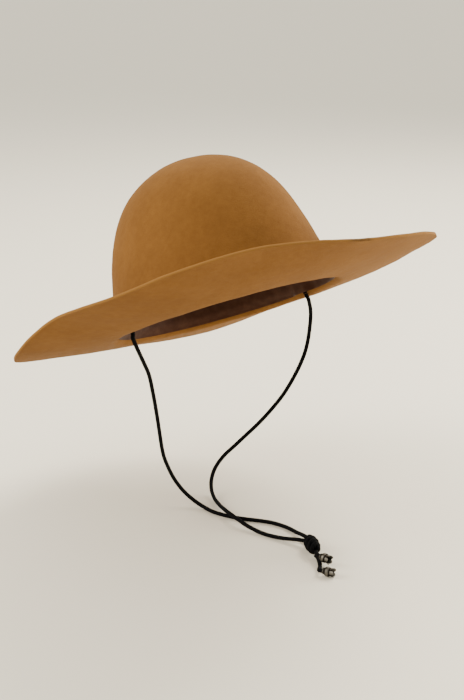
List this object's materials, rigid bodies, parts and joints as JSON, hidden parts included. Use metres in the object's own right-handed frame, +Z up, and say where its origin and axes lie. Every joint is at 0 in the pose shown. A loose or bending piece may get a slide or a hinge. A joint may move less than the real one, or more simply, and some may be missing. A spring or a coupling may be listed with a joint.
{
  "type": "wide brim hat",
  "caption": "Wide brim felt hat with a round crown, a sweatband and a black chin cord knotted at its end, with small metal tips.",
  "frame": {"origin": "middle of the head opening, at the height of the break between crown and brim", "axes": "+Z up as the hat is worn, -Y towards the raised front of the brim, +X towards the wearer's left ear"},
  "size_m": [0.3071, 0.3321, 0.286],
  "materials": {
    "camel_felt": "matte brushed felt",
    "brown_leather": "satin leather",
    "black_cord": "matte braid",
    "old_silver": "antiqued metal"
  },
  "bodies": {
    "root": {"felt_body": "camel_felt", "sweatband": "brown_leather", "chin_cord_hidden": "black_cord", "chin_cord_right": "black_cord", "chin_cord_left": "black_cord", "chin_knot": "black_cord", "tail_left": "black_cord", "tail_right": "black_cord", "tip_left": "old_silver", "tip_right": "old_silver"}
  },
  "joints": []
}
